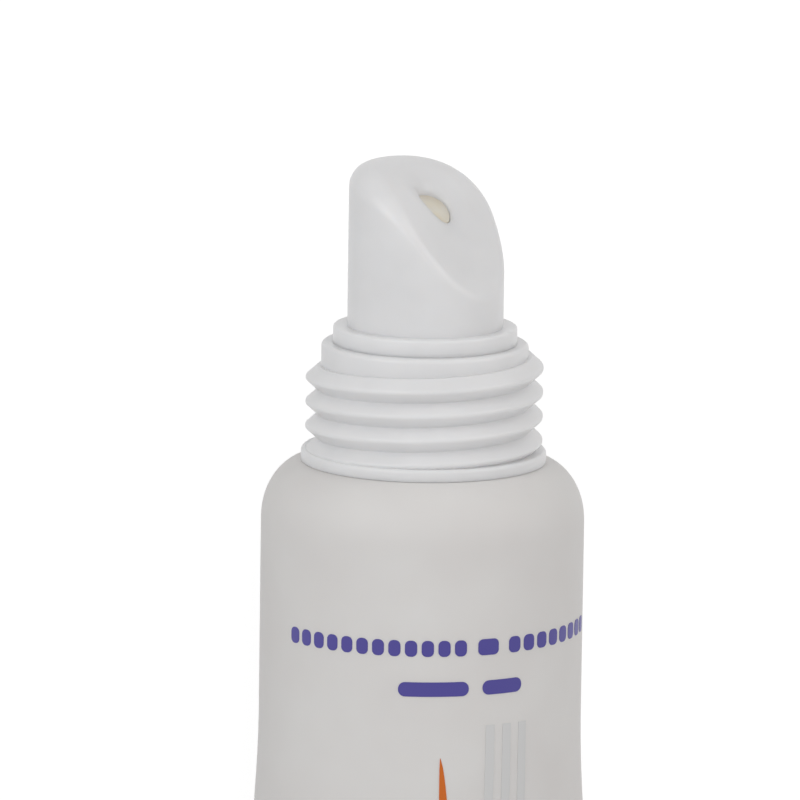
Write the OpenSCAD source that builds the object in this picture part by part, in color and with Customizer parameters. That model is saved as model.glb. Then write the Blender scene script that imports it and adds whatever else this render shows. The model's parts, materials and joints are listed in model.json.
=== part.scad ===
// Lip cream tube. A round plastic sleeve is pressed flat and sealed at its tail, and its other
// end is turned in over a moulded head with a threaded neck. A tip with a slanted face and one
// orifice is pushed into the neck, and the tube is full of cream.
// The pieces are drawn upright with the nozzle up, their zero at the foot of the neck. Then the
// whole tube is laid down as it comes to rest, on its belly and on the edge of its tail.

/* [Sleeve] */
// Outside diameter of the round end
sleeve_d = 19; // [18:0.5:25]
// Thickness of the plastic wall
sleeve_wall = 0.5; // [0.35:0.05:0.65]
// Length from the foot of the neck to the end of the tail
sleeve_len = 75; // [60:1:110]
// Length, from the foot of the neck, that stays round
round_len = 15; // [10:1:24]
// Softness of the bend where the round stretch ends, as a share of the taper
belly_bend = 0.1; // [0.05:0.01:0.2]
// Height of the rounding at the shoulder
shoulder_h = 3.5; // [2.8:0.1:4.5]
// Length of the flat seal at the tail
seal_len = 5; // [3:0.5:8]
// Distance from one groove of the seal to the next
groove_pitch = 1; // [0.8:0.1:1.6]
// Depth of those grooves
groove_depth = 0.12; // [0.05:0.01:0.15]

/* [Head] */
// Outside diameter of the neck, at the root of its thread
neck_d = 12.15; // [11.6:0.05:12.6]
// Thickness of the neck wall
neck_wall = 1.5; // [1.2:0.05:1.6]
// Height of the neck above its foot
neck_h = 7; // [6:0.1:9]
// Radius of the rounding round the rim of the neck
rim_round = 0.25; // [0.1:0.05:0.4]
// Height of the bead at the foot of the neck
bead_h = 0.7; // [0.5:0.1:1.2]
// How far the bead stands out past the crest of the thread
bead_over = 0.225; // [0.1:0.025:0.4]
// Thickness of the shoulder under the sleeve
head_wall = 1; // [0.7:0.1:1.2]

/* [Thread] */
// Rise of the thread in one turn
thread_pitch = 1.44; // [1.4:0.02:1.8]
// Height of the thread above the neck
thread_h = 0.9; // [0.6:0.05:0.95]
// Angle of each flank, from a plane across the neck
flank_angle = 42; // [36:1:45]
// Distance from the rim down to the first crest
thread_start = 1.42; // [1.4:0.02:1.8]
// Turn, round the neck, of the side where that first crest is measured
thread_turn = 345; // [0:5:355]

/* [Tip] */
// Diameter of the applicator tip
tip_d = 9.15; // [8.5:0.05:9.5]
// Height of the tip above its flange
tip_h = 9.6; // [8.5:0.05:11]
// How far the flange stands out past the tip
flange_rim = 0.825; // [0.5:0.025:0.9]
// Thickness of the flange
flange_h = 1; // [0.7:0.05:1.6]
// Radius of the arc that the slanted face follows
face_arc_r = 6; // [5.5:0.1:8]
// Distance of that arc's centre behind the axis of the tip
face_arc_back = 3.5; // [3:0.1:3.8]
// Steepest slope of the face, which it keeps from there down to its low side
face_slope = 57; // [50:1:60]
// Turn, round the neck, of the low side of the slanted face
face_turn = 308; // [0:1:359]
// Radius of the rounding round the slanted face
face_edge_r = 1.35; // [0.6:0.05:1.4]
// Diameter of the orifice
orifice_d = 1.9; // [1.2:0.1:2.4]
// Distance of the orifice from the axis, to the low side
orifice_off = 0.5; // [0:0.05:0.6]
// Width of the dish round the orifice
dish_d = 5.2; // [4.4:0.1:5.4]
// Depth of the dish
dish_depth = 0.8; // [0.3:0.05:0.9]
// Depth of the plug below the flange
plug_h = 5; // [4:0.1:5.5]
// Thickness of the wall round the feed bore
plug_wall = 1.5; // [1.1:0.1:1.8]
// Height of the snap bead round the plug
snap_h = 0.25; // [0.1:0.05:0.4]

/* [Fits] */
// Gap left between two walls that are welded or pressed together
fit_gap = 0.03; // [0.01:0.01:0.05]

/* [Hidden] */
$fn = 96;

// Sleeve
sleeve_r = sleeve_d / 2;
mid_r = sleeve_r - sleeve_wall / 2;
taper_len = sleeve_len - seal_len - round_len;
sleeve_sides = 48;
taper_steps = 14;
taper_spread = 1.4;
cavity_stop = 1.5;
seam_step = 0.01;
cavity_depth = sleeve_r - (sleeve_r - sleeve_wall + seam_step) / cos(180 / sleeve_sides);
cut_over = 1;
groove_margin = 0.5;
groove_w = groove_pitch / 2;

// Neck and shoulder
neck_r = neck_d / 2;
crest_r = neck_r + thread_h;
bead_r = crest_r + bead_over;
bore_r = neck_r - neck_wall;
bead_round = 0.2;
bead_lap = 0.3;
turn_in_r = bead_r - bead_lap;
shoulder_w = sleeve_r - turn_in_r;
arc_steps = 12;
small_steps = 4;

// Thread
thread_step = 12;
turn_steps = 360 / thread_step;
thread_sink = 0.3;
flank_sink = 0.08;
crest_half = 0.1;
crest_drop = 0.07;
turn_gap = 0.02;
half_turn_rise = thread_pitch / 2 - turn_gap;
fade_angle = 60;
past_start = 72;
crest_z = neck_h - thread_start;
thread_steps = round((360 * (crest_z - bead_h / 2) / thread_pitch + past_start) / thread_step);
valley_fill = 0.06;
root_r = neck_r + edge_h(0) - (half_turn_rise - crest_half) / tan(flank_angle) + valley_fill;
root_top = crest_z + thread_pitch * (past_start / 360 - 0.5);
root_lead = 0.3;

// Tip
tip_r = tip_d / 2;
flange_r = tip_r + flange_rim;
flange_top = neck_h + flange_h;
flange_round = 0.15;
plug_r = bore_r - fit_gap;
plug_bottom = neck_h - plug_h;
plug_lead = 0.3;
snap_up = 1.5;
snap_z = plug_bottom + snap_up;
snap_half = 0.5;
snap_flat = 0.15;
feed_r = plug_r - plug_wall;
feed_top = 2;
feed_cone_top = 5;
orifice_r = orifice_d / 2;
funnel_step = 0.05;
funnel_r = orifice_r + orifice_off + funnel_step;
mouth_step = 0.1;
mouth_r = orifice_r + mouth_step;
dish_r = dish_d / 2;
tip_sides = 60;
dish_rings = 4;
face_rings = 4;
edge_steps = 6;
cap_r = orifice_r / 2;
face_arc_end = face_arc_r * sin(face_slope) - face_arc_back;

// Points along a part of an ellipse, from angle a0 to angle a1
function ellipse_arc(centre, half_w, half_h, a0, a1, steps) =
    [for (i = [0:steps]) let (a = a0 + (a1 - a0) * i / steps)
        centre + [half_w * cos(a), half_h * sin(a)]];

// The shoulder's rounding, seen from the side, at a depth below its outer surface
function shoulder_arc(depth, a0, a1) =
    ellipse_arc([turn_in_r, -shoulder_h], shoulder_w - depth, shoulder_h - depth, a0, a1, arc_steps);

// Flattening of the sleeve at a distance below the foot of the neck: 0 is round, 1 is flat
function flattening(s) = let (v = (s - round_len) / taper_len)
    v <= 0 ? 0 : (sqrt(v * v + belly_bend * belly_bend) - belly_bend)
        / (sqrt(1 + belly_bend * belly_bend) - belly_bend);

// Radius of the round sides of the sleeve, at the middle of its wall
function side_r(s) = mid_r - (mid_r - sleeve_wall / 2) * flattening(s);

// Half the width of the flat between the round sides, which keeps the sleeve's girth the same
function half_flat(s) = PI / 2 * (mid_r - side_r(s));

// Outline of the sleeve at a distance below the foot of the neck and a depth in its wall
function sleeve_outline(s, depth) = let (r = side_r(s) + sleeve_wall / 2 - depth)
    [for (k = [0:sleeve_sides - 1]) let (a = 360 * (k + 0.5) / sleeve_sides)
        [sign(cos(a)) * half_flat(s) + r * cos(a), r * sin(a)]];

// The same outline as points in space
function sleeve_ring(s, depth) = [for (p = sleeve_outline(s, depth)) [p[0], p[1], -s]];

// Distances below the foot of the neck at which the taper's outlines stand, from its end up
function taper_stations(length) =
    [for (i = [taper_steps:-1:0]) round_len + length * pow(i / taper_steps, taper_spread)];

// Half the depth of the sleeve, down to the flat facet that it lies on
function half_depth(s) = (side_r(s) + sleeve_wall / 2 - seam_step) * cos(180 / sleeve_sides);

// Tilt of the tube at rest: the line from the edge of its tail that just touches its belly
tail_half = half_depth(sleeve_len - seal_len);
rest_tilt = max([for (s = taper_stations(taper_len))
    atan2(half_depth(s) - tail_half, sleeve_len - s)]);

// Height of the slanted face over its arc's centre, and how steeply it falls, a distance u to
// the low side. Where the arc ends the face goes on straight.
function on_arc(u) = min(u, face_arc_end) + face_arc_back;
function arc_h(u) = sqrt(face_arc_r * face_arc_r - on_arc(u) * on_arc(u));
function face_h(u) = arc_h(u) - max(0, u - face_arc_end) * tan(face_slope);
function face_fall(u) = on_arc(u) / arc_h(u);

// Angle at which the face meets the edge's rounding, at an angle a from the low side
function edge_fall(a) = atan(face_fall((tip_r - face_edge_r) * cos(a)) * cos(a));
function edge_start(a) = tip_r - face_edge_r * (1 - sin(edge_fall(a)));
face_base = tip_h - face_edge_r * (1 - cos(edge_fall(180))) - face_h(-edge_start(180));

// Height of the slanted face above the flange at a point, with the dish round the orifice
function face_z(p) = let (d = norm(p - [orifice_off, 0]) / dish_r)
    face_base + face_h(p[0]) - (d < 1 ? dish_depth * (1 + cos(180 * d)) / 2 : 0);
function edge_centre_z(a) =
    face_base + face_h(edge_start(a) * cos(a)) - face_edge_r * cos(edge_fall(a));

// One ring of points round the tip: its wall, its rounded edge, its face and its dish
function tip_angles() = [for (k = [0:tip_sides - 1]) 360 * k / tip_sides];
function wall_ring(z) = [for (a = tip_angles()) [tip_r * cos(a), tip_r * sin(a), z]];
function edge_ring(share) = [for (a = tip_angles())
    let (b = share * (90 - edge_fall(a)), r = tip_r - face_edge_r * (1 - cos(b)))
    [r * cos(a), r * sin(a), edge_centre_z(a) + face_edge_r * sin(b)]];
function face_ring(share) = [for (a = tip_angles())
    let (inner = [orifice_off, 0] + dish_r * [cos(a), sin(a)],
         p = inner * (1 - share) + edge_start(a) * [cos(a), sin(a)] * share)
    [p[0], p[1], face_z(p)]];
function dish_ring(share) = [for (a = tip_angles())
    let (p = [orifice_off, 0] + (mouth_r + share * (dish_r - mouth_r)) * [cos(a), sin(a)])
    [p[0], p[1], face_z(p)]];
function cap_ring(z) = [for (a = tip_angles())
    [orifice_off + cap_r * cos(a), cap_r * sin(a), z]];

// The snap bead's outline on a wall of radius r, larger all round by the value of grow
function snap_outline(r, grow) = [
    [r, snap_z - snap_half - grow],
    [r + snap_h, snap_z - snap_flat - grow],
    [r + snap_h, snap_z + snap_flat + grow],
    [r, snap_z + snap_half + grow]];

// Solid through a list of rings from the lowest to the highest, closed at both ends
module loft(rings) {
    n = len(rings[0]);
    last = len(rings) - 1;
    sides = [for (i = [0:last - 1]) for (j = [0:n - 1])
        let (a = i * n + j, b = i * n + (j + 1) % n)
        each [[a, a + n, b + n], [a, b + n, b]]];
    first_cap = [for (j = [0:n - 1]) j];
    last_cap = [for (j = [n - 1:-1:0]) last * n + j];
    polyhedron([for (ring = rings) each ring], concat([first_cap], sides, [last_cap]));
}

// Lays the upright tube down, its print facing up and its nozzle along +Y
module lay_down() {
    translate([0, (sleeve_len - flange_top - tip_h) / 2 * cos(rest_tilt),
               tail_half * cos(rest_tilt) + sleeve_len * sin(rest_tilt)])
        rotate([rest_tilt - 90, 0, 0]) children();
}

// Round stretch of the sleeve, with its end turned in over the shoulder
module round_sleeve() {
    rotate_extrude() polygon(concat(
        shoulder_arc(0, 90, 0),
        [[sleeve_r, -round_len], [sleeve_r - sleeve_wall, -round_len]],
        shoulder_arc(sleeve_wall, 0, 90)));
}

// Stretch of the sleeve that goes from round to flat. Both its faces stand a hair inside the wall
// of the round stretch, so that the two meet on one clean face.
module tapered_sleeve() {
    difference() {
        loft([for (s = taper_stations(taper_len)) sleeve_ring(s, seam_step)]);
        loft([each [for (s = taper_stations(taper_len - cavity_stop)) sleeve_ring(s, cavity_depth)],
              sleeve_ring(round_len - cut_over, cavity_depth)]);
    }
}

// Both walls welded into one flat band, with pressed grooves along the tube on both faces
module tail_seal() {
    flat = half_flat(sleeve_len - seal_len);
    count = floor(flat / groove_pitch);
    difference() {
        translate([0, 0, -sleeve_len]) linear_extrude(seal_len)
            polygon(sleeve_outline(sleeve_len - seal_len, seam_step));
        for (i = [-count:count], side = [-1, 1])
            translate([i * groove_pitch - groove_w / 2,
                       side * tail_half - groove_depth, -sleeve_len - cut_over])
                cube([groove_w, 2 * groove_depth, seal_len + cut_over - groove_margin]);
    }
}

module tube_sleeve() {
    color("#f3f0ec") lay_down() {
        round_sleeve();
        tapered_sleeve();
        tail_seal();
    }
}

// Shoulder, bead and neck as one turned outline, with the groove for the tip's snap bead
module head_body() {
    under = sleeve_wall + fit_gap;
    rotate_extrude() polygon(concat(
        [[bore_r, -under - head_wall]],
        shoulder_arc(under + head_wall, 90, 0),
        shoulder_arc(under, 0, 90),
        [[turn_in_r - fit_gap, -under], [turn_in_r - fit_gap, 0], [bead_r, 0]],
        ellipse_arc([bead_r - bead_round, bead_h - bead_round], bead_round, bead_round,
                    0, 90, small_steps),
        [[root_r, bead_h], [root_r, root_top], [neck_r, root_top + root_lead]],
        ellipse_arc([neck_r - rim_round, neck_h - rim_round], rim_round, rim_round,
                    0, 90, small_steps),
        [[bore_r, neck_h]],
        [for (i = [3:-1:0]) snap_outline(bore_r, fit_gap)[i]]));
}

// Height of the ridge's crest and how far its flank reaches along the neck, a number of steps up
// from its bottom end. The ridge fades out at its top end.
function fade(i) = max(0, min(1, (thread_steps - i) * thread_step / fade_angle));
function edge_h(i) = (thread_h - crest_drop) * fade(i);
function flank_reach(i) =
    i > thread_steps ? 0 : crest_half + (edge_h(i) + flank_sink) * tan(flank_angle);
function lower_reach(i) = min(flank_reach(i), half_turn_rise);

// The upper flank stops short of the turn above it, where there is one
function upper_reach(i) =
    min(flank_reach(i), thread_pitch - 2 * turn_gap - lower_reach(i + turn_steps));
function foot_h(i, reach) = edge_h(i) - (reach - crest_half) / tan(flank_angle);

// One section across the ridge, a number of steps up from its bottom end
function thread_section(i) =
    let (turned = past_start - (thread_steps - i) * thread_step,
         a = thread_turn + turned,
         z = crest_z + thread_pitch * turned / 360,
         up = upper_reach(i),
         low = lower_reach(i))
    [for (p = [[-thread_sink, up], [foot_h(i, up), up], [edge_h(i), crest_half],
               [thread_h * fade(i), 0], [edge_h(i), -crest_half],
               [foot_h(i, low), -low], [-thread_sink, -low]])
        [(neck_r + p[0]) * cos(a), (neck_r + p[0]) * sin(a), z + p[1]]];

// Ridge of the thread, its root sunk in the neck, its lowest turn running into the bead
module thread_ridge() {
    loft([for (i = [0:thread_steps]) thread_section(i)]);
}

module threaded_head() {
    color("#f1f3f6") lay_down() {
        head_body();
        thread_ridge();
    }
}

// Flange that stands on the rim of the neck, and the plug that is pushed into its bore
module flange_and_plug() {
    rotate_extrude() polygon(concat(
        [[0, plug_bottom], [plug_r - plug_lead, plug_bottom], [plug_r, plug_bottom + plug_lead]],
        snap_outline(plug_r, 0),
        [[plug_r, neck_h], [flange_r, neck_h]],
        ellipse_arc([flange_r - flange_round, flange_top - flange_round],
                    flange_round, flange_round, 0, 90, small_steps),
        [[0, flange_top]]));
}

// Applicator above the flange: a round wall cut by a curved slant, its edge rounded all the way
module slanted_body() {
    translate([0, 0, flange_top]) rotate([0, 0, face_turn])
        loft([wall_ring(0),
              each [for (i = [0:edge_steps]) edge_ring(i / edge_steps)],
              each [for (i = [face_rings - 1:-1:0]) face_ring(i / face_rings)],
              each [for (i = [dish_rings - 1:-1:0]) dish_ring(i / dish_rings)],
              cap_ring(face_z([orifice_off, 0]))]);
}

// Feed bore up through the plug, narrowing under the slanted face
module feed_bore() {
    rotate_extrude() polygon([
        [0, plug_bottom - cut_over], [feed_r, plug_bottom - cut_over],
        [feed_r, flange_top + feed_top], [funnel_r, flange_top + feed_cone_top],
        [0, flange_top + feed_cone_top]]);
}

module slant_tip() {
    color("#f4f4f6") lay_down() difference() {
        union() {
            flange_and_plug();
            slanted_body();
        }
        feed_bore();
        rotate([0, 0, face_turn]) translate([orifice_off, 0, flange_top + feed_top])
            cylinder(r = orifice_r, h = tip_h);
    }
}

// The cream fills the tube, the neck and the tip up to the foot of the orifice
module lip_cream() {
    inside = sleeve_wall + fit_gap;
    under_head = inside + head_wall + fit_gap;
    color("#f0e2c4") lay_down() {
        rotate_extrude() polygon(concat(
            [[0, -round_len], [sleeve_r - inside, -round_len],
             [sleeve_r - inside, -shoulder_h - fit_gap],
             [sleeve_r - under_head, -shoulder_h - fit_gap]],
            shoulder_arc(under_head, 0, 90),
            [[bore_r - fit_gap, -under_head], [bore_r - fit_gap, plug_bottom - fit_gap],
             [feed_r - fit_gap, plug_bottom - fit_gap],
             [feed_r - fit_gap, flange_top + feed_top],
             [funnel_r - fit_gap, flange_top + feed_cone_top - fit_gap],
             [0, flange_top + feed_cone_top - fit_gap]]));
        loft([for (s = taper_stations(taper_len - cavity_stop)) sleeve_ring(s, inside + seam_step)]);
    }
}

tube_sleeve();
threaded_head();
slant_tip();
lip_cream();
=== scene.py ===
"""A lip cream tube on its side: printed sleeve, threaded head, slanted tip and the cream in it."""

import json
from math import atan, copysign, cos, hypot, pi, radians, sin, sqrt, tan

import bmesh
import bpy
from mathutils import Matrix, Vector


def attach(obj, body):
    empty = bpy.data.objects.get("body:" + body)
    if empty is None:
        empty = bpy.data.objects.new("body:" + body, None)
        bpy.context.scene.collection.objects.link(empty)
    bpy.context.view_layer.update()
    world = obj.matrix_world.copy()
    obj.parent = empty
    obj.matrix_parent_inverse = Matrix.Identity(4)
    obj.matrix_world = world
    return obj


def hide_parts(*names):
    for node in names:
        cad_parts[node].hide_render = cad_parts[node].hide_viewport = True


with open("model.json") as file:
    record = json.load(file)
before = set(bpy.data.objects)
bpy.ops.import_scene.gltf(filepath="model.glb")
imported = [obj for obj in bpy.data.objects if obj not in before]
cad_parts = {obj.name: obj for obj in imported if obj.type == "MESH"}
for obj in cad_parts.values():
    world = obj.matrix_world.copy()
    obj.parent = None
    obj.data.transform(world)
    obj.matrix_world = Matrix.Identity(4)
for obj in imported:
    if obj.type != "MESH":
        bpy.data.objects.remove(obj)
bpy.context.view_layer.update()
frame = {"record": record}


# Camera. It looks down on the tube from a little to the left and from the nozzle's side, with a
# long lens, so that the tube stands upright in the picture as it does in the photograph.
# The tube's own axes have their zero at the foot of the neck and +Z to the nozzle.

MM = 0.001
thread_mount = next(m for m in frame["record"]["mounts"] if m["name"] == "cap_thread")
tube_axis = Vector(thread_mount["axis"])
thread_middle = 3.8 * MM
neck_foot = Vector(thread_mount["pos_m"]) - tube_axis * thread_middle
laid = (Matrix.Translation(neck_foot)
        @ Vector((0, 0, 1)).rotation_difference(tube_axis).to_matrix().to_4x4())

round_turn = radians(255)
above_side = radians(10.5)
lean = radians(0.8)
view_distance = 540 * MM
view_width = 46.98 * MM
aim_right = -1.36 * MM
aim_up = 4.46 * MM
aim_foot = -1 * MM

to_camera = Vector((cos(above_side) * cos(round_turn), cos(above_side) * sin(round_turn),
                    sin(above_side)))
level = Vector((-sin(round_turn), cos(round_turn), 0))
upward = to_camera.cross(level)
right = level * cos(lean) + upward * sin(lean)
up = upward * cos(lean) - level * sin(lean)
aim = Vector((0, 0, aim_foot)) + right * aim_right + up * aim_up
seat = Matrix.Identity(4)
for column, part in enumerate((right, up, to_camera, aim + to_camera * view_distance)):
    for row in range(3):
        seat[row][column] = part[row]

bpy.ops.object.select_all(action="DESELECT")
bpy.ops.object.camera_add()
camera = bpy.context.object
camera.data.sensor_width = 36
camera.data.lens = camera.data.sensor_width * view_distance / view_width
camera.matrix_world = laid @ seat
bpy.context.scene.camera = camera
bpy.context.scene.view_settings.view_transform = "Standard"


# Floor and light. Plain white paper under the tube, a soft box at either side of its nozzle and
# the light of a white room, a little stronger from its walls than from its ceiling. The paper
# looks white to the camera and keeps the tube's soft shadow.

def linear(code):
    """Turns an sRGB hex colour into the linear one that the shaders take."""
    parts = [int(code[i:i + 2], 16) / 255 for i in (1, 3, 5)]
    return [p / 12.92 if p <= 0.04045 else ((p + 0.055) / 1.055) ** 2.4 for p in parts] + [1]


def add_node(material, kind, settings=(), **links):
    """Adds a node, sets its properties and sockets, and links sockets to other nodes' outputs."""
    tree = material.node_tree
    node = tree.nodes.new(kind)
    for name, value in dict(settings).items():
        if name in node.inputs:
            node.inputs[name].default_value = value
        else:
            setattr(node, name, value)
    for name, output in links.items():
        tree.links.new(output, node.inputs[name.replace("_", " ")])
    return node


def new_material(name):
    """Adds an empty node material and gives back it and its output node."""
    material = bpy.data.materials.new(name)
    material.use_nodes = True
    material.node_tree.nodes.clear()
    return material, add_node(material, "ShaderNodeOutputMaterial")


def wear(piece, material):
    """Gives a piece its one material."""
    piece.data.materials.clear()
    piece.data.materials.append(material)


paper, paper_out = new_material("white_paper_backdrop")
paper_white = linear("#8c8c8c")
paper_glow = 0.86
paper_skin = add_node(paper, "ShaderNodeBsdfDiffuse", {"Color": paper_white})
paper_light = add_node(paper, "ShaderNodeEmission",
                       {"Color": (1, 1, 1, 1), "Strength": paper_glow})
lit_paper = add_node(paper, "ShaderNodeAddShader")
paper.node_tree.links.new(paper_skin.outputs[0], lit_paper.inputs[0])
paper.node_tree.links.new(paper_light.outputs[0], lit_paper.inputs[1])
ray = add_node(paper, "ShaderNodeLightPath")
seen = add_node(paper, "ShaderNodeMath", {"operation": "ADD", "use_clamp": True})
mirrored = add_node(paper, "ShaderNodeMath", {"operation": "ADD"})
for pair in ((ray.outputs["Is Glossy Ray"], mirrored.inputs[0]),
             (ray.outputs["Is Transmission Ray"], mirrored.inputs[1]),
             (ray.outputs["Is Camera Ray"], seen.inputs[0]),
             (mirrored.outputs[0], seen.inputs[1])):
    paper.node_tree.links.new(*pair)
paper_mix = add_node(paper, "ShaderNodeMixShader", Fac=seen.outputs[0])
paper.node_tree.links.new(paper_skin.outputs[0], paper_mix.inputs[1])
paper.node_tree.links.new(lit_paper.outputs[0], paper_mix.inputs[2])
paper.node_tree.links.new(paper_mix.outputs[0], paper_out.inputs["Surface"])

paper_side = 3
bpy.ops.mesh.primitive_plane_add(size=paper_side)
floor = bpy.context.object
floor.name = "paper_floor"
wear(floor, paper)

room = bpy.data.worlds.new("white_room")
room.use_nodes = True
room_light = room.node_tree.nodes["Background"]
room_light.inputs["Color"].default_value = (1, 1, 1, 1)
ceiling_light = 0.58
wall_light = 0.7
toward = add_node(room, "ShaderNodeTexCoord")
rise = add_node(room, "ShaderNodeSeparateXYZ", Vector=toward.outputs["Generated"])
room_level = add_node(room, "ShaderNodeMapRange", {"To Min": wall_light, "To Max": ceiling_light},
                      Value=rise.outputs["Z"])
room.node_tree.links.new(room_level.outputs[0], room_light.inputs["Strength"])
bpy.context.scene.world = room

lamp_side = 0.4
lamp_target = Vector((0, 0.02, 0.01))
for name, place, power, colour in (
        ("left_soft_box", (-0.42, 0.22, 0.3), 0.85, (1, 1, 1)),
        ("right_soft_box", (0.42, 0.22, 0.34), 0.55, (1, 0.96, 0.93))):
    bpy.ops.object.light_add(type="AREA", location=place)
    lamp = bpy.context.object
    lamp.name = name
    lamp.data.size = lamp_side
    lamp.data.energy = power
    lamp.data.color = colour
    lamp.rotation_euler = (lamp_target - lamp.location).to_track_quat("-Z", "Y").to_euler()


# Sleeve. An extruded polyethylene tube, white all through, turned in over the head at one end
# and pressed flat and welded at the other, with fine ribs along the weld.

sleeve_r = 9.5
sleeve_wall = 0.5
sleeve_len = 75
round_len = 15
belly_bend = 0.1
seal_len = 5
shoulder_h = 3.5
turn_in_r = 6.9
rib_pitch = 1
rib_depth = 0.12
rib_margin = 0.5
sleeve_sides = 360
ring_shift = 0.5
cavity_stop = 1.5
middle_r = sleeve_r - sleeve_wall / 2
seal_top = sleeve_len - seal_len
taper_len = seal_top - round_len


def flattening(down):
    """How far the sleeve is pressed flat, from 0 to 1, at a distance below the neck's foot."""
    share = max(0, down - round_len) / taper_len
    return min(1, (hypot(share, belly_bend) - belly_bend) / (hypot(1, belly_bend) - belly_bend))


def sleeve_point(angle, down, depth):
    """A point of the sleeve: two round sides with flats between them, the same girth all the way.
    The angle tells how far round the girth the point stands."""
    side_r = middle_r - (middle_r - sleeve_wall / 2) * flattening(down)
    flat = (middle_r - side_r) * pi / 2
    radius = side_r + sleeve_wall / 2 - depth
    along = min(angle % pi, pi - angle % pi) * middle_r - side_r * pi / 2
    x, y = flat - along, radius
    if along < 0:
        x, y = flat - radius * sin(along / side_r), radius * cos(along / side_r)
    if down > seal_top + rib_margin:
        y -= rib_depth * (1 + cos(2 * pi * x / rib_pitch)) / 2 * (1 - depth / sleeve_wall)
    return copysign(x, cos(angle)), copysign(y, sin(angle)), -down


def sleeve_ring(down, depth):
    return [sleeve_point(2 * pi * (k + ring_shift) / sleeve_sides, down, depth)
            for k in range(sleeve_sides)]


def round_ring(radius, height, sides, shift=0):
    """A round ring that is turned by a share of the step between its points."""
    return [(radius * cos(2 * pi * (k + shift) / sides),
             radius * sin(2 * pi * (k + shift) / sides), height) for k in range(sides)]


def draw_skin(name, rings, closed_round=False):
    """Adds a ring and extrudes it through the places of the others, in millimetres. The two
    ends are capped, or joined to each other where the skin is closed round."""
    bpy.ops.object.select_all(action="DESELECT")
    bpy.ops.mesh.primitive_circle_add(vertices=len(rings[0]), radius=MM,
                                      fill_type="NOTHING" if closed_round else "NGON")
    piece = bpy.context.object
    piece.name = piece.data.name = name
    bpy.ops.object.mode_set(mode="EDIT")
    bpy.ops.mesh.select_mode(type="VERT")
    bpy.ops.mesh.select_all(action="SELECT")
    shape = bmesh.from_edit_mesh(piece.data)
    shape.verts.layers.int.new("number")
    number = shape.verts.layers.int["number"]
    for k, vertex in enumerate(shape.verts):
        vertex[number] = k
        vertex.co = Vector(rings[0][k]) * MM
    for ring in rings[1:]:
        bpy.ops.mesh.extrude_edges_indiv()
        shape = bmesh.from_edit_mesh(piece.data)
        number = shape.verts.layers.int["number"]
        for vertex in shape.verts:
            if vertex.select:
                vertex.co = Vector(ring[vertex[number]]) * MM
    if not closed_round:
        bpy.ops.mesh.edge_face_add()
    bmesh.update_edit_mesh(piece.data)
    bpy.ops.mesh.select_all(action="SELECT")
    bpy.ops.mesh.remove_doubles(threshold=MM / 1000)
    bpy.ops.mesh.normals_make_consistent(inside=False)
    bpy.ops.object.mode_set(mode="OBJECT")
    return piece


def lay_down(piece, crease=35):
    """Smooths a piece, lays it down with the tube and leaves its object at the origin."""
    bpy.ops.object.select_all(action="DESELECT")
    bpy.context.view_layer.objects.active = piece
    piece.select_set(True)
    bpy.ops.object.shade_smooth_by_angle(angle=radians(crease))
    piece.matrix_world = laid
    bpy.ops.object.transform_apply(location=True, rotation=True, scale=True)


def shoulder_arc(depth, start, end, steps=16):
    """The rounding at the shoulder, as radius and height, from one angle to another."""
    angles = [radians(start + (end - start) * i / steps) for i in range(steps + 1)]
    return [(turn_in_r + (sleeve_r - turn_in_r - depth) * cos(a),
             -shoulder_h + (shoulder_h - depth) * sin(a)) for a in angles]


rib_rise = 0.06
taper_steps = 26
taper_crowding = 1.4
stations = [round_len + taper_len * (i / taper_steps) ** taper_crowding
            for i in range(taper_steps, 0, -1)]
straights = [round_len, 11, 7.5]
sleeve_rings = (
    [sleeve_ring(down, 0) for down in (sleeve_len, seal_top + rib_margin + rib_rise,
                                       seal_top + rib_margin)]
    + [sleeve_ring(down, 0) for down in stations + straights]
    + [round_ring(r, z, sleeve_sides, ring_shift) for r, z in shoulder_arc(0, 0, 90)]
    + [round_ring(r, z, sleeve_sides, ring_shift) for r, z in shoulder_arc(sleeve_wall, 90, 0)]
    + [sleeve_ring(down, sleeve_wall) for down in straights[::-1] + stations[::-1]
       if down < seal_top - cavity_stop]
    + [sleeve_ring(seal_top - cavity_stop, sleeve_wall)])
sleeve = draw_skin("sleeve_skin", sleeve_rings)
lay_down(sleeve)

# White polyethylene, extruded: a soft gloss, faint lines along the tube from the die and a
# slight waviness. Real die lines are near 0.05 mm apart and are drawn here at 0.25 mm.
sleeve_plastic, sleeve_out = new_material("extruded_white_polyethylene")
place = add_node(sleeve_plastic, "ShaderNodeTexCoord")
die_map = add_node(sleeve_plastic, "ShaderNodeMapping", {"Scale": (4000, 60, 4000)},
                   Vector=place.outputs["Object"])
die_lines = add_node(sleeve_plastic, "ShaderNodeTexNoise", {"Scale": 1.0, "Detail": 2.0},
                     Vector=die_map.outputs[0])
waves = add_node(sleeve_plastic, "ShaderNodeTexNoise", {"Scale": 160.0, "Detail": 2.0},
                 Vector=place.outputs["Object"])
sleeve_tone = add_node(sleeve_plastic, "ShaderNodeValToRGB", Fac=waves.outputs["Fac"])
sleeve_tone.color_ramp.elements[0].position = 0.3
sleeve_tone.color_ramp.elements[0].color = linear("#dfdcda")
sleeve_tone.color_ramp.elements[1].position = 0.7
sleeve_tone.color_ramp.elements[1].color = linear("#e4e2e0")
sleeve_gloss = add_node(sleeve_plastic, "ShaderNodeMapRange",
                        {"To Min": 0.44, "To Max": 0.54}, Value=waves.outputs["Fac"])
line_bump = add_node(sleeve_plastic, "ShaderNodeBump", {"Strength": 0.3, "Distance": 0.000004},
                     Height=die_lines.outputs["Fac"])
wave_bump = add_node(sleeve_plastic, "ShaderNodeBump", {"Strength": 0.3, "Distance": 0.00002},
                     Height=waves.outputs["Fac"], Normal=line_bump.outputs[0])
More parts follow.
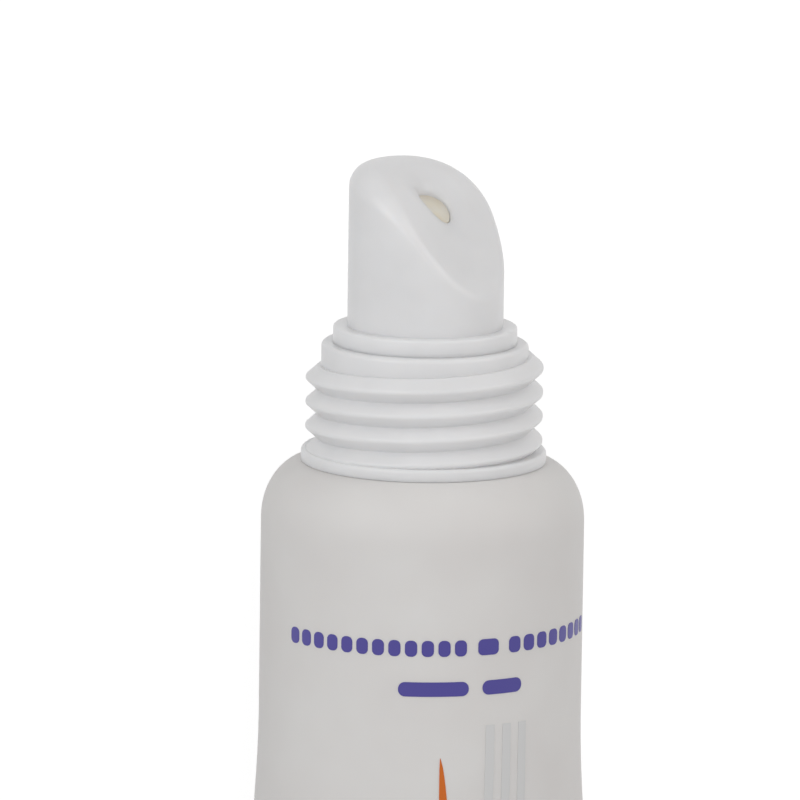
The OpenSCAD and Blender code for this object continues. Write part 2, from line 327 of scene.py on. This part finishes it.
sleeve_shader = add_node(sleeve_plastic, "ShaderNodeBsdfPrincipled",
                         {"IOR": 1.51, "Specular IOR Level": 0.35, "Subsurface Weight": 0.12,
                          "Subsurface Scale": 0.0015, "Subsurface Radius": (1.0, 0.9, 0.8)},
                         Base_Color=sleeve_tone.outputs[0], Roughness=sleeve_gloss.outputs[0],
                         Normal=wave_bump.outputs[0])
sleeve_plastic.node_tree.links.new(sleeve_shader.outputs[0], sleeve_out.inputs["Surface"])
wear(sleeve, sleeve_plastic)
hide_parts("tube_sleeve")
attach(sleeve, "root")


# Head. One polyethylene moulding: the shoulder that the sleeve is welded to, the bead that
# hides the sleeve's edge, and the neck with its right-hand cap thread.

fit_gap = 0.03
head_wall = 1
neck_r = 6.075
neck_h = 7
bore_r = 4.575
rim_round = 0.25
bead_r = 7.2
bead_h = 0.7
bead_round = 0.2
root_r = 6.3
root_top = 5.15
root_lead = 0.3
snap_z = 3.5
snap_h = 0.25
snap_foot = 0.5
snap_crest = 0.15
head_sides = 180


def rounding(radius, height, size, steps=6):
    """Points of a rounded outer corner, from its side to its top."""
    return [(radius - size + size * cos(pi / 2 * i / steps),
             height - size + size * sin(pi / 2 * i / steps)) for i in range(steps + 1)]


def snap_outline(radius, grow):
    """The snap bead of the tip or its groove in the neck, upwards."""
    return [(radius, snap_z - snap_foot - grow), (radius + snap_h, snap_z - snap_crest - grow),
            (radius + snap_h, snap_z + snap_crest + grow), (radius, snap_z + snap_foot + grow)]


under = sleeve_wall + fit_gap
head_outline = (
    [(bore_r, -under - head_wall)]
    + shoulder_arc(under + head_wall, 90, 0) + shoulder_arc(under, 0, 90)
    + [(turn_in_r - fit_gap, -under), (turn_in_r - fit_gap, 0), (bead_r, 0)]
    + rounding(bead_r, bead_h, bead_round)
    + [(root_r, bead_h), (root_r, root_top), (neck_r, root_top + root_lead)]
    + rounding(neck_r, neck_h, rim_round)
    + [(bore_r, neck_h)] + snap_outline(bore_r, fit_gap)[::-1]
    + [(bore_r, -under - head_wall)])
head = draw_skin("threaded_neck", [round_ring(r, z, head_sides) for r, z in head_outline],
                 closed_round=True)

thread_pitch = 1.44
thread_h = 0.9
flank = radians(42)
crest_round = 0.2
crest_z = 5.58
thread_turn = 345
past_start = 72
fade_turn = 60
thread_step = 4
thread_sink = 0.3
sink_lip = 0.1
turn_gap = 0.02
nose_steps = 3
thread_steps = 345


def thread_section(i):
    """One section across the ridge: a round crest, two flanks and a foot sunk in the neck.
    The ridge fades out over the last steps at its top end."""
    turned = past_start - (thread_steps - i) * thread_step
    angle = radians(thread_turn + turned)
    height = crest_z + thread_pitch * turned / 360
    fade = min(1, (thread_steps - i) * thread_step / fade_turn)
    crest = (thread_h + thread_sink / 2) * fade - thread_sink / 2
    nose = [(crest - crest_round * (1 - cos(t)), crest_round * sin(t))
            for t in [(pi / 2 - flank) * j / nose_steps for j in range(nose_steps, 0, -1)]]
    start, reach = nose[0]
    half = thread_pitch / 2 - turn_gap
    foot = start - (half - reach) / tan(flank)
    foot_reach = half if foot > -thread_sink else reach + (start + thread_sink) * tan(flank)
    foot = max(foot, -thread_sink)
    upper = [(-thread_sink - sink_lip, foot_reach), (foot, foot_reach)] + nose
    section = upper + [(crest, 0)] + [(r, -z) for r, z in upper[::-1]]
    return [((neck_r + r) * cos(angle), (neck_r + r) * sin(angle), height + z)
            for r, z in section]


ridge = draw_skin("thread_ridge", [thread_section(i) for i in range(thread_steps + 1)])
union = head.modifiers.new("thread", "BOOLEAN")
union.operation = "UNION"
union.solver = "EXACT"
union.object = ridge
bpy.ops.object.select_all(action="DESELECT")
bpy.context.view_layer.objects.active = head
head.select_set(True)
bpy.ops.object.modifier_apply(modifier=union.name)
bpy.data.objects.remove(ridge)
lay_down(head)

# White polyethylene, moulded: a satin gloss with the fine sparked texture of the mould, whose
# grain is about 0.1 mm and is drawn at 0.2 mm.
head_plastic, head_out = new_material("moulded_white_polyethylene")
place = add_node(head_plastic, "ShaderNodeTexCoord")
grain = add_node(head_plastic, "ShaderNodeTexNoise", {"Scale": 5000.0, "Detail": 2.0},
                 Vector=place.outputs["Object"])
flow = add_node(head_plastic, "ShaderNodeTexNoise", {"Scale": 260.0, "Detail": 2.0},
                Vector=place.outputs["Object"])
head_tone = add_node(head_plastic, "ShaderNodeValToRGB", Fac=flow.outputs["Fac"])
head_tone.color_ramp.elements[0].position = 0.3
head_tone.color_ramp.elements[0].color = linear("#e6e6e7")
head_tone.color_ramp.elements[1].position = 0.7
head_tone.color_ramp.elements[1].color = linear("#ebebec")
head_gloss = add_node(head_plastic, "ShaderNodeMapRange",
                      {"To Min": 0.32, "To Max": 0.42}, Value=flow.outputs["Fac"])
head_bump = add_node(head_plastic, "ShaderNodeBump", {"Strength": 0.4, "Distance": 0.000006},
                     Height=grain.outputs["Fac"])
head_shader = add_node(head_plastic, "ShaderNodeBsdfPrincipled",
                       {"IOR": 1.51, "Subsurface Weight": 0.6, "Subsurface Scale": 0.001,
                        "Subsurface Radius": (1.0, 0.95, 0.9)},
                       Base_Color=head_tone.outputs[0], Roughness=head_gloss.outputs[0],
                       Normal=head_bump.outputs[0])
head_plastic.node_tree.links.new(head_shader.outputs[0], head_out.inputs["Surface"])
wear(head, head_plastic)
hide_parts("threaded_head")
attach(head, "root")


# Tip. One soft polyethylene moulding, pushed into the neck till its snap bead clicks: a plug, a
# flange and the applicator, cut at a slant that ends in a steep flat, with a dish round its hole.

flange_top = 8
flange_r = 5.4
flange_round = 0.15
plug_r = 4.545
plug_bottom = 2
plug_lead = 0.3
feed_r = 3.045
feed_top = 2
feed_cone_top = 5
tip_r = 4.575
tip_h = 9.6
arc_r = 6
arc_back = 3.5
steepest = radians(57)
face_turn = radians(308)
edge_r = 1.35
hole_r = 0.95
hole_off = 0.5
hole_round = 0.35
dish_r = 2.6
dish_depth = 0.8
tip_sides = 144
edge_steps = 12
face_steps = 8
dish_steps = 10
hole_steps = 6
cone_room = 0.05
arc_end = arc_r * sin(steepest) - arc_back


def face_slope(u):
    """Tangent of the slant at a distance u from the axis to the low side."""
    on_arc = min(u, arc_end) + arc_back
    return on_arc / sqrt(arc_r ** 2 - on_arc ** 2)


def slant(u):
    """Height of the slant over its arc's centre."""
    on_arc = min(u, arc_end) + arc_back
    return sqrt(arc_r ** 2 - on_arc ** 2) - max(0, u - arc_end) * tan(steepest)


def edge_fall(angle):
    """How steeply the slant falls outwards, about where the rounding of its edge starts."""
    return atan(face_slope((tip_r - edge_r) * cos(angle)) * cos(angle))


def edge_start(angle):
    """Distance from the axis at which the rounding of the edge starts."""
    return tip_r - edge_r * (1 - sin(edge_fall(angle)))


slant_base = tip_h - edge_r * (1 - cos(edge_fall(pi))) - slant(-edge_start(pi))


def face_height(x, y):
    """Height of the slanted face above the flange, with its dish."""
    off_centre = hypot(x - hole_off, y) / dish_r
    dish = dish_depth * (1 + cos(pi * off_centre)) / 2 if off_centre < 1 else 0
    return slant_base + slant(x) - dish


def turned_ring(place):
    """A ring round the tip, from a function of the angle from the low side."""
    ring = []
    for k in range(tip_sides):
        angle = 2 * pi * k / tip_sides
        x, y, z = place(angle)
        ring.append((x * cos(face_turn) - y * sin(face_turn),
                     x * sin(face_turn) + y * cos(face_turn), z))
    return ring


def tip_round(radius, height, off=0.0):
    return turned_ring(lambda a: (off + radius * cos(a), radius * sin(a), height))


def edge_ring(share):
    """A ring on the rounding of the edge, from the round wall, 0, to the face, 1."""
    def place(a):
        b = share * (pi / 2 - edge_fall(a))
        reach = tip_r - edge_r * (1 - cos(b))
        foot = slant_base + slant(edge_start(a) * cos(a)) - edge_r * cos(edge_fall(a))
        return reach * cos(a), reach * sin(a), flange_top + foot + edge_r * sin(b)
    return turned_ring(place)


def face_ring(share):
    """A ring on the face, from the rim of the dish, 0, to the rounding of the edge, 1."""
    def place(a):
        x = (hole_off + dish_r * cos(a)) * (1 - share) + edge_start(a) * cos(a) * share
        y = dish_r * sin(a) * (1 - share) + edge_start(a) * sin(a) * share
        return x, y, flange_top + face_height(x, y)
    return turned_ring(place)


def hole_ring(radius, sink):
    """A ring round the hole on the face, sunk by some distance."""
    def place(a):
        x, y = hole_off + radius * cos(a), radius * sin(a)
        return x, y, flange_top + face_height(x, y) - sink
    return turned_ring(place)


tip_rings = (
    [tip_round(r, z) for r, z in
     [(feed_r, plug_bottom), (plug_r - plug_lead, plug_bottom), (plug_r, plug_bottom + plug_lead)]
     + snap_outline(plug_r, 0) + [(plug_r, neck_h), (flange_r, neck_h)]
     + rounding(flange_r, flange_top, flange_round) + [(tip_r, flange_top)]]
    + [edge_ring(i / edge_steps) for i in range(edge_steps + 1)]
    + [face_ring(i / face_steps) for i in range(face_steps - 1, -1, -1)]
    + [hole_ring(hole_r + hole_round + (dish_r - hole_r - hole_round) * i / dish_steps, 0)
       for i in range(dish_steps - 1, -1, -1)]
    + [hole_ring(hole_r + hole_round * (1 - sin(t)), hole_round * (1 - cos(t)))
       for t in [pi / 2 * i / hole_steps for i in range(1, hole_steps + 1)]]
    + [tip_round(hole_r, flange_top + feed_cone_top, hole_off),
       tip_round(hole_r + hole_off + cone_room, flange_top + feed_cone_top),
       tip_round(feed_r, flange_top + feed_top), tip_round(feed_r, plug_bottom)])
tip = draw_skin("slanted_tip", tip_rings, closed_round=True)
lay_down(tip)

# White polyethylene, moulded and polished on the face that touches the lips: a slightly brighter
# gloss than the head's, and a little light that comes through its thick wall.
tip_plastic, tip_out = new_material("polished_white_polyethylene")
place = add_node(tip_plastic, "ShaderNodeTexCoord")
flow = add_node(tip_plastic, "ShaderNodeTexNoise", {"Scale": 300.0, "Detail": 2.0},
                Vector=place.outputs["Object"])
tip_tone = add_node(tip_plastic, "ShaderNodeValToRGB", Fac=flow.outputs["Fac"])
tip_tone.color_ramp.elements[0].position = 0.3
tip_tone.color_ramp.elements[0].color = linear("#e6e6e7")
tip_tone.color_ramp.elements[1].position = 0.7
tip_tone.color_ramp.elements[1].color = linear("#ebebec")
tip_gloss = add_node(tip_plastic, "ShaderNodeMapRange",
                     {"To Min": 0.28, "To Max": 0.36}, Value=flow.outputs["Fac"])
tip_bump = add_node(tip_plastic, "ShaderNodeBump", {"Strength": 0.3, "Distance": 0.00002},
                    Height=flow.outputs["Fac"])
tip_shader = add_node(tip_plastic, "ShaderNodeBsdfPrincipled",
                      {"IOR": 1.51, "Subsurface Weight": 0.6, "Subsurface Scale": 0.0012,
                       "Subsurface Radius": (1.0, 0.95, 0.9)},
                      Base_Color=tip_tone.outputs[0], Roughness=tip_gloss.outputs[0],
                      Normal=tip_bump.outputs[0])
tip_plastic.node_tree.links.new(tip_shader.outputs[0], tip_out.inputs["Surface"])
wear(tip, tip_plastic)
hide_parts("slant_tip")
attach(tip, "root")


# Cream. A soft warm white paste that fills the sleeve, the neck and the tip. It stands a little
# below the mouth of the hole and lies deeper at the hole's high side.

cream_gap = 0.05
cream_r = hole_r - 0.02
cream_sink = 0.22
cream_dip = 0.35
cream_levels = ((1, 0), (0.85, 0.03), (0.55, 0.05), (0.25, 0.05))
tail_gap = 1
cream_shift = radians(0.3)
under_head = under + head_wall + fit_gap
cream_outline = (
    [(sleeve_r - under, -round_len), (sleeve_r - under, -shoulder_h - fit_gap),
     (sleeve_r - under_head, -shoulder_h - fit_gap)]
    + shoulder_arc(under_head, 5, 90)
    + [(bore_r - cream_gap, -under_head), (bore_r - cream_gap, plug_bottom - cream_gap),
       (feed_r - cream_gap, plug_bottom - cream_gap),
       (feed_r - cream_gap, flange_top + feed_top),
       (hole_r + hole_off, flange_top + feed_cone_top - cream_gap)])


def cream_ring(down):
    """A ring of the cream in the pressed part of the sleeve."""
    return [sleeve_point(2 * pi * k / tip_sides + face_turn + cream_shift, down, under)
            for k in range(tip_sides)]


def cream_top(radius, sink):
    """A ring of the cream's surface, which lies deeper at the high side of the hole."""
    def place(a):
        x, y = hole_off + radius * cos(a), radius * sin(a)
        deeper = cream_dip * (hole_r - radius * cos(a)) / 2
        return x, y, flange_top + face_height(x, y) - sink - deeper
    return turned_ring(place)


cream_rings = (
    [cream_ring(seal_top - cavity_stop - tail_gap)]
    + [cream_ring(down) for down in stations if down < seal_top - cavity_stop - 2 * tail_gap]
    + [tip_round(r, z) for r, z in cream_outline]
    + [tip_round(cream_r, flange_top + feed_cone_top - cream_gap, hole_off)]
    + [cream_top(cream_r * share, cream_sink + hollow) for share, hollow in cream_levels])
cream = draw_skin("cream_fill", cream_rings)
lay_down(cream, crease=60)

# Lip cream: oil and wax whipped with water, glossy and a little see-through, with a smooth skin.
cream_look, cream_out = new_material("warm_white_cream")
place = add_node(cream_look, "ShaderNodeTexCoord")
swirl = add_node(cream_look, "ShaderNodeTexNoise", {"Scale": 900.0, "Detail": 1.0},
                 Vector=place.outputs["Object"])
cream_tone = add_node(cream_look, "ShaderNodeValToRGB", Fac=swirl.outputs["Fac"])
cream_tone.color_ramp.elements[0].position = 0.3
cream_tone.color_ramp.elements[0].color = linear("#ebe0c9")
cream_tone.color_ramp.elements[1].position = 0.7
cream_tone.color_ramp.elements[1].color = linear("#efe7d6")
cream_bump = add_node(cream_look, "ShaderNodeBump", {"Strength": 0.4, "Distance": 0.00005},
                      Height=swirl.outputs["Fac"])
cream_shader = add_node(cream_look, "ShaderNodeBsdfPrincipled",
                        {"IOR": 1.45, "Roughness": 0.3, "Subsurface Weight": 0.3,
                         "Subsurface Scale": 0.002, "Subsurface Radius": (1.0, 0.8, 0.5)},
                        Base_Color=cream_tone.outputs[0], Normal=cream_bump.outputs[0])
cream_look.node_tree.links.new(cream_shader.outputs[0], cream_out.inputs["Surface"])
wear(cream, cream_look)
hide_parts("lip_cream")
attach(cream, "root")


# Print. Ink that is screened onto the sleeve before it is filled: a row of beads and a pair of
# bars across the tube, three pale stripes and one tapered stroke that run down it.

ink_lift = 0.01
ink_thick = 0.03
print_side = 3 * pi / 2
least_half = 0.01
corner_steps = 6
column_pitch = 0.3
run_steps = 60


def draw_strip(name, columns):
    """A strip of ink. Each column gives its two ends as distances round the sleeve from the
    middle of the print and down from the neck's foot."""
    bpy.ops.object.select_all(action="DESELECT")
    bpy.ops.mesh.primitive_grid_add(x_subdivisions=len(columns) - 1, y_subdivisions=1, size=MM)
    strip = bpy.context.object
    strip.name = strip.data.name = name
    for i, vertex in enumerate(strip.data.vertices):
        across, down = columns[i % len(columns)][i // len(columns)]
        angle = print_side + across / sleeve_r
        vertex.co = Vector(sleeve_point(angle, down, -ink_lift)) * MM
    thick = strip.modifiers.new("ink", "SOLIDIFY")
    thick.thickness = ink_thick * MM
    thick.offset = 0
    bpy.ops.object.modifier_apply(modifier=thick.name)
    bpy.ops.object.mode_set(mode="EDIT")
    bpy.ops.mesh.select_all(action="SELECT")
    bpy.ops.mesh.remove_doubles(threshold=MM / 10000)
    bpy.ops.mesh.normals_make_consistent(inside=False)
    bpy.ops.object.mode_set(mode="OBJECT")
    return strip


def round_bar(left, right_end, top, height, corner):
    """Columns of a bar with round corners, laid across the tube."""
    ends = [corner * (1 - cos(pi / 2 * i / corner_steps)) for i in range(corner_steps + 1)]
    inside = right_end - left - 2 * corner
    inside_steps = int(inside / column_pitch) + 1
    middle = [corner + inside * i / inside_steps for i in range(1, inside_steps)]
    columns = []
    for along in ends + middle + [right_end - left - e for e in ends[::-1]]:
        near = min(along, right_end - left - along, corner)
        spread = max(least_half,
                     height / 2 - corner + sqrt(max(0, corner ** 2 - (corner - near) ** 2)))
        columns.append(((left + along, top + height / 2 + spread),
                        (left + along, top + height / 2 - spread)))
    return columns


def join(name, strips):
    """Joins strips into one piece."""
    bpy.ops.object.select_all(action="DESELECT")
    for strip in strips:
        strip.select_set(True)
    bpy.context.view_layer.objects.active = strips[0]
    bpy.ops.object.join()
    strips[0].name = strips[0].data.name = name
    return strips[0]


bead_top = 8.88
bead_high = 0.95
bead_gap = 0.26
bead_corner = 0.3
bead_runs = ((-11.2, 0.2, 12), (0.9, 2.2, 1), (2.9, 11.1, 8))
blue_strips = []
for left, right_end, count in bead_runs:
    step = (right_end - left + bead_gap) / count
    for i in range(count):
        start = left + step * i
        columns = round_bar(start, start + step - bead_gap, bead_top, bead_high, bead_corner)
        blue_strips.append(draw_strip("bead", columns))
bar_top = 11.34
bar_high = 0.85
bar_corner = 0.4
bar_ends = ((-3.8, 0.35), (1.2, 3.8))
for left, right_end in bar_ends:
    columns = round_bar(left, right_end, bar_top, bar_high, bar_corner)
    blue_strips.append(draw_strip("bar", columns))
blue_print = join("blue_print", blue_strips)
lay_down(blue_print)

stripe_count = 3
stripe_width = 0.55
stripe_gap = 0.55
stripe_left = 1.45
stripe_top = 14
stripe_len = 40
stripes = []
for i in range(stripe_count):
    left = stripe_left + i * (stripe_width + stripe_gap)
    downs = [stripe_top + stripe_len * k / run_steps for k in range(run_steps + 1)]
    stripes.append(draw_strip("stripe", [((left, d), (left + stripe_width, d)) for d in downs]))
grey_print = join("grey_print", stripes)
lay_down(grey_print)

stroke_top = 15.85
stroke_len = 34
stroke_width = 0.75
stroke_left = -1.28
stroke_lean = 1.8
lean_power = 0.8
swell_power = 0.6
stroke_columns = []
for k in range(run_steps + 1):
    share = k / run_steps
    down = stroke_top + stroke_len * share
    middle = stroke_left + stroke_lean * share ** lean_power
    half = max(least_half, stroke_width / 2 * sin(pi * share ** swell_power))
    stroke_columns.append(((middle - half, down), (middle + half, down)))
orange_print = draw_strip("orange_print", stroke_columns)
lay_down(orange_print)

# Screen ink, cured: even, a little glossier than the sleeve, with pinholes of the mesh, which
# are about 0.05 mm and are drawn at 0.1 mm.
for piece, name, colour in ((blue_print, "violet_blue_screen_ink", "#4f489a"),
                            (grey_print, "pale_grey_screen_ink", "#d6d6d6"),
                            (orange_print, "orange_screen_ink", "#d2690f")):
    ink, ink_out = new_material(name)
    place = add_node(ink, "ShaderNodeTexCoord")
    mesh_marks = add_node(ink, "ShaderNodeTexNoise", {"Scale": 9000.0, "Detail": 1.0},
                          Vector=place.outputs["Object"])
    ink_gloss = add_node(ink, "ShaderNodeMapRange", {"To Min": 0.3, "To Max": 0.5},
                         Value=mesh_marks.outputs["Fac"])
    ink_bump = add_node(ink, "ShaderNodeBump", {"Strength": 0.3, "Distance": 0.000005},
                        Height=mesh_marks.outputs["Fac"])
    ink_shader = add_node(ink, "ShaderNodeBsdfPrincipled",
                          {"Base Color": linear(colour), "IOR": 1.5},
                          Roughness=ink_gloss.outputs[0], Normal=ink_bump.outputs[0])
    ink.node_tree.links.new(ink_shader.outputs[0], ink_out.inputs["Surface"])
    wear(piece, ink)
    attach(piece, "root")
